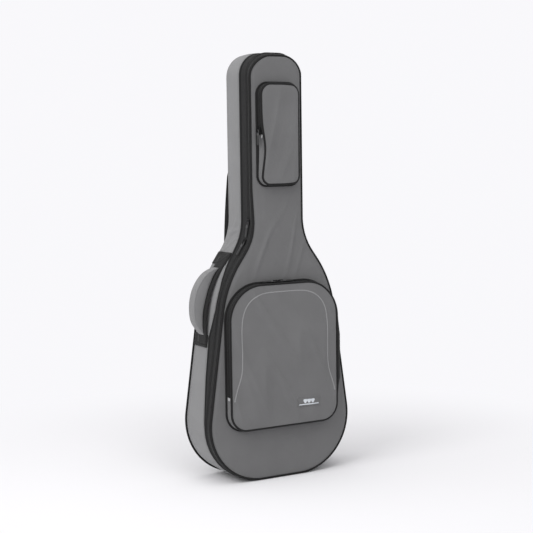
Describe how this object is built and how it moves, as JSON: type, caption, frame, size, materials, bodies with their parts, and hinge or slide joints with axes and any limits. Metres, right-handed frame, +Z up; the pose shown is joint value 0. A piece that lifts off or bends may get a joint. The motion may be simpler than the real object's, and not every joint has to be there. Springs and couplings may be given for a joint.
{
  "type": "padded gig bag",
  "caption": "Upright padded guitar gig bag with a zipped lid that opens like a book, two zipped front pockets, a side carry handle and padded shoulder straps.",
  "frame": {"origin": "on the floor, under the middle of the padded shell, halfway between its front and back faces", "axes": "+X to the bag's right seen from the front, +Y towards its back, +Z up along the neck"},
  "size_m": [0.4161, 0.1936, 1.08],
  "materials": {
    "padded_panel_fabric": "grey padded woven polyester",
    "side_fabric": "lighter grey woven polyester",
    "black_piping": "black woven piping",
    "zip_tape": "black zip tape",
    "zip_coil": "black nylon coil",
    "lining": "black brushed lining",
    "foam": "closed-cell foam",
    "black_webbing": "black woven webbing",
    "strap_fabric": "black padded strap",
    "buckle_plastic": "moulded black plastic",
    "slider_metal": "black lacquered metal",
    "pull_rubber": "dark grey rubber",
    "reflective_trim": "silver-grey reflective tape",
    "woven_label": "grey woven label with pale blue-white marks"
  },
  "bodies": {
    "shell": {"back_panel": "padded_panel_fabric", "side_gusset": "side_fabric", "back_piping": "black_piping", "main_zip_tape_shell": "zip_tape", "main_zip_coil_shell": "zip_coil", "hinge_strip_shell": "side_fabric", "back_lining": "lining", "end_block": "foam", "neck_rest": "foam", "neck_strap": "lining", "handle_band_lower": "black_webbing", "handle_band_upper": "black_webbing", "shoulder_strap_left": "strap_fabric", "shoulder_strap_right": "strap_fabric", "strap_webbing_left": "black_webbing", "strap_webbing_right": "black_webbing", "ladder_lock_left": "buckle_plastic", "ladder_lock_right": "buckle_plastic", "strap_tab_patches": "lining", "strap_top_patch": "lining"},
    "lid": {"lid_panel": "padded_panel_fabric", "lid_lining": "lining", "lid_piping": "black_piping", "main_zip_tape_lid": "zip_tape", "main_zip_coil_lid": "zip_coil", "hinge_strip_lid": "side_fabric", "pocket_label": "woven_label", "front_pocket_base_piping": "black_piping", "front_pocket_gusset": "side_fabric", "front_pocket_tape_base": "zip_tape", "front_pocket_coil_base": "zip_coil", "front_pocket_face": "padded_panel_fabric", "front_pocket_face_piping": "black_piping", "neck_pocket_base_piping": "black_piping", "neck_pocket_gusset": "side_fabric", "neck_pocket_tape_base": "zip_tape", "neck_pocket_coil_base": "zip_coil", "neck_pocket_face": "padded_panel_fabric", "neck_pocket_face_piping": "black_piping"},
    "front_flap": {"front_flap_panel": "padded_panel_fabric", "front_flap_tape": "zip_tape", "front_flap_coil": "zip_coil", "front_flap_piping": "black_piping", "reflective_line": "reflective_trim"},
    "neck_flap": {"neck_flap_panel": "padded_panel_fabric", "neck_flap_tape": "zip_tape", "neck_flap_coil": "zip_coil", "neck_flap_piping": "black_piping"},
    "handle": {"handle_webbing": "black_webbing", "handle_grip": "padded_panel_fabric"},
    "main_slider_upper": {"main_slider_upper": "slider_metal"},
    "main_slider_lower": {"main_slider_lower": "slider_metal"},
    "front_slider_left": {"front_slider_left": "slider_metal"},
    "front_slider_right": {"front_slider_right": "slider_metal"},
    "neck_slider": {"neck_slider": "slider_metal"},
    "main_pull_upper": {"main_pull_upper": "pull_rubber"},
    "main_pull_lower": {"main_pull_lower": "pull_rubber"},
    "front_pull_left": {"front_pull_left": "pull_rubber"},
    "front_pull_right": {"front_pull_right": "pull_rubber"},
    "neck_pull": {"neck_pull": "pull_rubber"}
  },
  "joints": [
    {"name": "lid_hinge", "type": "hinge", "parent": "shell", "child": "lid", "pos_m": [0.20351, -0.043, 0.16999], "axis": [-0.1409, 0, 0.99], "range_deg": [0, 160]},
    {"name": "front_flap_fold", "type": "hinge", "parent": "lid", "child": "front_flap", "pos_m": [0, -0.092, 0.225], "axis": [1, 0, 0], "range_deg": [0, 105]},
    {"name": "neck_flap_fold", "type": "hinge", "parent": "lid", "child": "neck_flap", "pos_m": [0, -0.089, 0.874], "axis": [1, 0, 0], "range_deg": [0, 105]},
    {"name": "main_slider_upper_travel", "type": "slide", "parent": "shell", "child": "main_slider_upper", "axis": [0, 0, 1], "range_m": [0, 0.3]},
    {"name": "main_slider_lower_travel", "type": "hinge", "parent": "shell", "child": "main_slider_lower", "pos_m": [-0.22, -0.043, 0.66635], "axis": [0, 1, 0], "range_deg": [0, 8.9]},
    {"name": "front_slider_left_travel", "type": "slide", "parent": "lid", "child": "front_slider_left", "axis": [-1, 0, 0], "range_m": [0, 0.035]},
    {"name": "front_slider_right_travel", "type": "slide", "parent": "lid", "child": "front_slider_right", "axis": [1, 0, 0], "range_m": [0, 0.05]},
    {"name": "neck_slider_travel", "type": "slide", "parent": "lid", "child": "neck_slider", "axis": [0, 0, 1], "range_m": [0, 0.07]},
    {"name": "main_pull_upper_swing", "type": "hinge", "parent": "main_slider_upper", "child": "main_pull_upper", "pos_m": [-0.07715, -0.043, 0.65635], "axis": [0, 1, 0], "range_deg": [0, 140]},
    {"name": "main_pull_lower_swing", "type": "hinge", "parent": "main_slider_lower", "child": "main_pull_lower", "pos_m": [-0.08904, -0.043, 0.60804], "axis": [0, 1, 0], "range_deg": [0, 110]},
    {"name": "front_pull_left_swing", "type": "hinge", "parent": "front_slider_left", "child": "front_pull_left", "pos_m": [-0.02, -0.0795, 0.50815], "axis": [0, 1, 0], "range_deg": [0, 110]},
    {"name": "front_pull_right_swing", "type": "hinge", "parent": "front_slider_right", "child": "front_pull_right", "pos_m": [-0.005, -0.0795, 0.50815], "axis": [0, -1, 0], "range_deg": [0, 110]},
    {"name": "neck_pull_swing", "type": "hinge", "parent": "neck_slider", "child": "neck_pull", "pos_m": [-0.06415, -0.078, 0.886], "axis": [0, 1, 0], "range_deg": [0, 140]},
    {"name": "handle_swing", "type": "hinge", "parent": "shell", "child": "handle", "pos_m": [-0.17862, 0.021, 0.37306], "axis": [0.2649, 0, 0.9643], "range_deg": [-30, 30]}
  ]
}
